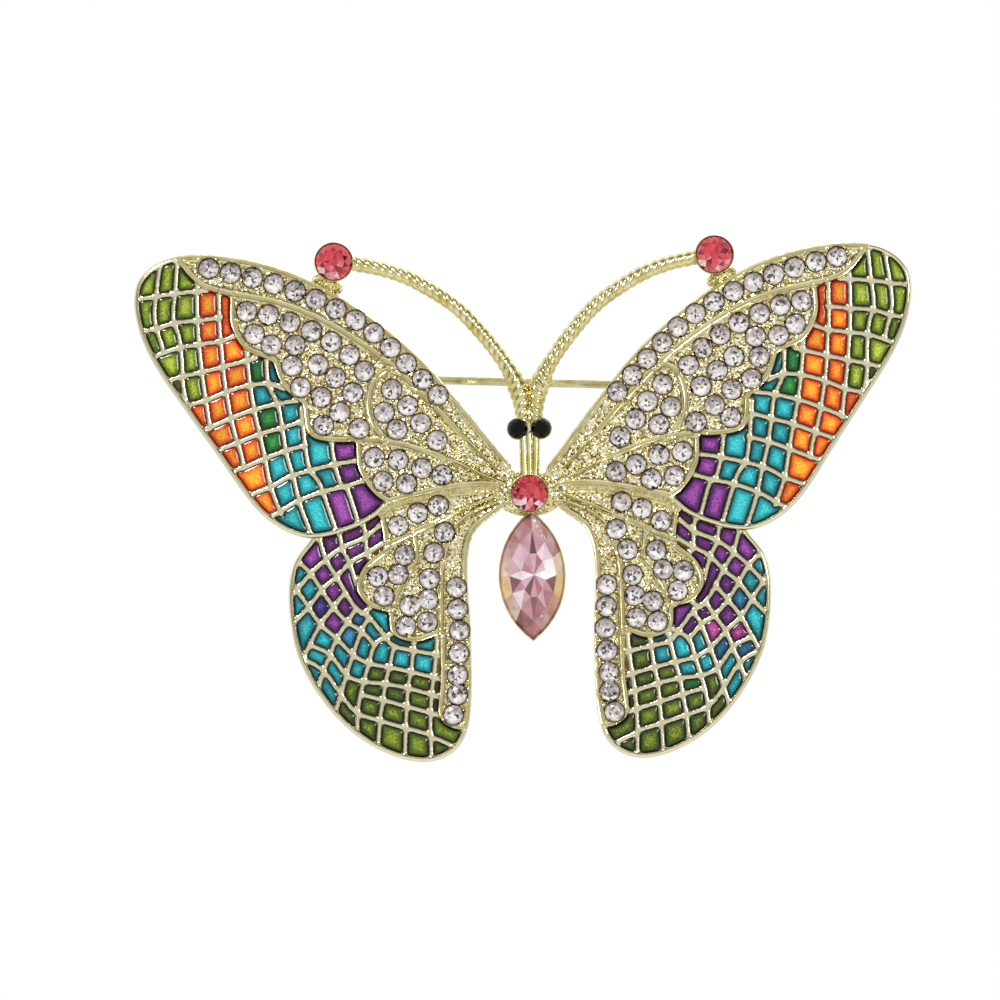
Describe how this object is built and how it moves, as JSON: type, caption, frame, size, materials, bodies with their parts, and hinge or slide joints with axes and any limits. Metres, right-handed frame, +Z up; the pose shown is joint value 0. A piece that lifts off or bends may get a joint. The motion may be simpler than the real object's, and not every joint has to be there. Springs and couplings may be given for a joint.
{
  "type": "butterfly brooch",
  "caption": "Gold-tone butterfly brooch with crystal pave, enamel lattice wings, a navette body stone and a hinged pin with a roll-over safety catch.",
  "frame": {"origin": "middle of the pin stem, on its axis, where the garment holds the brooch", "axes": "+Z up as worn towards the antennae, +X across the wings, +Y from the wings back towards the wearer; the front faces -Y"},
  "size_m": [0.072, 0.0101, 0.0484],
  "materials": {
    "gold": "polished pale gold plate, darkened in the recesses",
    "pin_steel": "drawn wire, satin",
    "crystal": "foiled clear crystal, faceted",
    "rose_stone": "foiled rose-red glass, faceted",
    "pink_stone": "foiled pale pink glass, faceted",
    "black_stone": "opaque black glass, faceted",
    "enamel_green": "glossy glitter enamel",
    "enamel_orange": "glossy glitter enamel",
    "enamel_teal": "glossy glitter enamel",
    "enamel_purple": "glossy glitter enamel",
    "enamel_olive": "glossy translucent enamel"
  },
  "bodies": {
    "brooch": {"forewing_plate_left": "gold", "forewing_plate_right": "gold", "hindwing_plate_left": "gold", "hindwing_plate_right": "gold", "antenna_left": "gold", "antenna_right": "gold", "antenna_cup_left": "gold", "antenna_cup_right": "gold", "body_casting": "gold", "abdomen_setting": "gold", "joint_bracket": "gold", "catch_base": "gold", "joint_rivet": "pin_steel", "pave_a_left": "crystal", "pave_a_right": "crystal", "pave_b_left": "crystal", "pave_b_right": "crystal", "pave_c_left": "crystal", "pave_c_right": "crystal", "pave_d_left": "crystal", "pave_d_right": "crystal", "pave_e_left": "crystal", "pave_e_right": "crystal", "pave_f_outer_left": "crystal", "pave_f_outer_right": "crystal", "pave_f_inner_left": "crystal", "pave_f_inner_right": "crystal", "pave_g_left": "crystal", "pave_g_right": "crystal", "antenna_stone_left": "rose_stone", "antenna_stone_right": "rose_stone", "thorax_stone": "rose_stone", "abdomen_stone": "pink_stone", "eye_stone_left": "black_stone", "eye_stone_right": "black_stone", "forewing_enamel_green_left": "enamel_green", "forewing_enamel_green_right": "enamel_green", "forewing_enamel_orange_left": "enamel_orange", "forewing_enamel_orange_right": "enamel_orange", "forewing_enamel_teal_left": "enamel_teal", "forewing_enamel_teal_right": "enamel_teal", "hindwing_enamel_teal_left": "enamel_teal", "hindwing_enamel_teal_right": "enamel_teal", "forewing_enamel_purple_left": "enamel_purple", "forewing_enamel_purple_right": "enamel_purple", "hindwing_enamel_purple_left": "enamel_purple", "hindwing_enamel_purple_right": "enamel_purple", "hindwing_enamel_olive_left": "enamel_olive", "hindwing_enamel_olive_right": "enamel_olive"},
    "pin_stem": {"pin_stem": "pin_steel"},
    "catch_roller": {"catch_roller": "gold"}
  },
  "joints": [
    {"name": "stem_swing", "type": "hinge", "parent": "brooch", "child": "pin_stem", "pos_m": [-0.01528, 0, 0.00069], "axis": [0.0454, 0, 0.999], "range_deg": [0, 100]},
    {"name": "catch_roll", "type": "hinge", "parent": "brooch", "child": "catch_roller", "pos_m": [0.01478, 0, -0.00067], "axis": [-0.999, 0, 0.0454], "range_deg": [0, 100]}
  ]
}
